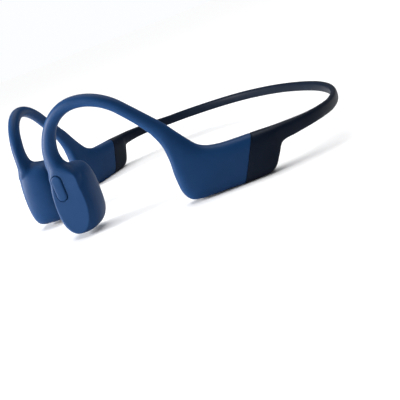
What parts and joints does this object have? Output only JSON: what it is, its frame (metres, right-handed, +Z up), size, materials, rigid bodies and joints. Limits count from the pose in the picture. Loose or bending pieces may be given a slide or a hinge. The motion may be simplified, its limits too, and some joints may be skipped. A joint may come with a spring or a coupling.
{
  "type": "bone conduction headphones",
  "caption": "Open-ear bone conduction headphones: a thin sprung band behind the head joins two slim housings, with ear hooks that carry transducer pods to the cheekbones.",
  "frame": {"origin": "bottom centre of the whole object, on the surface that it rests on", "axes": "+X is the wearer's left, -Y is the front where the pods hang, +Z is up; the object is mirrored about the YZ plane except for its controls"},
  "size_m": [0.135, 0.1212, 0.0471],
  "materials": {
    "blue_silicone": "matte soft-touch silicone",
    "contact_silicone": "matte soft-touch silicone",
    "band_silicone": "matte soft-touch silicone",
    "spring_wire": "drawn wire",
    "cable_jacket": "satin",
    "battery_foil": "satin foil",
    "circuit_board": "satin solder mask",
    "steel": "plated",
    "magnet": "nickel plated",
    "copper_wire": "enamelled",
    "white_plastic": "moulded",
    "chip_black": "moulded",
    "ceramic": "fired",
    "gold_plate": "gold plated",
    "port_plastic": "moulded",
    "light_guide": "clear, polished"
  },
  "bodies": {
    "neckband": {"band_sleeve": "band_silicone", "neck_wire": "spring_wire", "neck_cable": "cable_jacket", "left_flex_sleeve": "band_silicone", "right_flex_sleeve": "band_silicone"},
    "left_arm": {"left_rear_sleeve": "band_silicone", "left_housing_shell": "blue_silicone", "left_ear_hook": "blue_silicone", "left_hook_wire": "spring_wire", "left_hook_cable": "cable_jacket", "left_pod_shell": "blue_silicone", "left_contact_cap": "contact_silicone", "left_yoke": "steel", "left_magnet": "magnet", "left_top_plate": "steel", "left_voice_coil": "copper_wire", "left_coil_carrier": "white_plastic", "left_spring_plate": "steel", "battery_cell": "battery_foil", "battery_board": "circuit_board", "button_switch": "steel", "button_board": "circuit_board"},
    "right_arm": {"right_rear_sleeve": "band_silicone", "right_housing_shell": "blue_silicone", "right_ear_hook": "blue_silicone", "right_hook_wire": "spring_wire", "right_hook_cable": "cable_jacket", "right_pod_shell": "blue_silicone", "right_contact_cap": "contact_silicone", "right_yoke": "steel", "right_magnet": "magnet", "right_top_plate": "steel", "right_voice_coil": "copper_wire", "right_coil_carrier": "white_plastic", "right_spring_plate": "steel", "main_board": "circuit_board", "radio_chip": "chip_black", "audio_chip": "chip_black", "antenna": "ceramic", "microphone": "gold_plate", "key_board": "circuit_board", "volume_up_switch": "steel", "volume_down_switch": "steel", "charging_port_frame": "port_plastic", "charging_contacts": "gold_plate", "charging_magnets": "magnet", "status_light": "light_guide"},
    "multifunction_button": {"multifunction_button": "blue_silicone"},
    "volume_up_key": {"volume_up_key": "blue_silicone"},
    "volume_down_key": {"volume_down_key": "blue_silicone"}
  },
  "joints": [
    {"name": "left_flex", "type": "hinge", "parent": "neckband", "child": "left_arm", "pos_m": [0.04742, 0.04668, 0.013], "axis": [0, 0, 1], "range_deg": [-3, 30], "stiffness_Nm_per_rad": 0.25, "deforming": ["neck_wire", "neck_cable", "left_flex_sleeve"]},
    {"name": "right_flex", "type": "hinge", "parent": "neckband", "child": "right_arm", "pos_m": [-0.04742, 0.04668, 0.013], "axis": [0, 0, -1], "range_deg": [-3, 30], "stiffness_Nm_per_rad": 0.25, "deforming": ["neck_wire", "neck_cable", "right_flex_sleeve"]},
    {"name": "multifunction_press", "type": "slide", "parent": "left_arm", "child": "multifunction_button", "axis": [-0.6752, 0.7368, -0.0349], "range_m": [0, 0.0003], "stiffness_N_per_m": 2000},
    {"name": "volume_up_press", "type": "slide", "parent": "right_arm", "child": "volume_up_key", "axis": [0, 0, 1], "range_m": [0, 0.00025], "stiffness_N_per_m": 2000},
    {"name": "volume_down_press", "type": "slide", "parent": "right_arm", "child": "volume_down_key", "axis": [0, 0, 1], "range_m": [0, 0.00025], "stiffness_N_per_m": 2000}
  ]
}
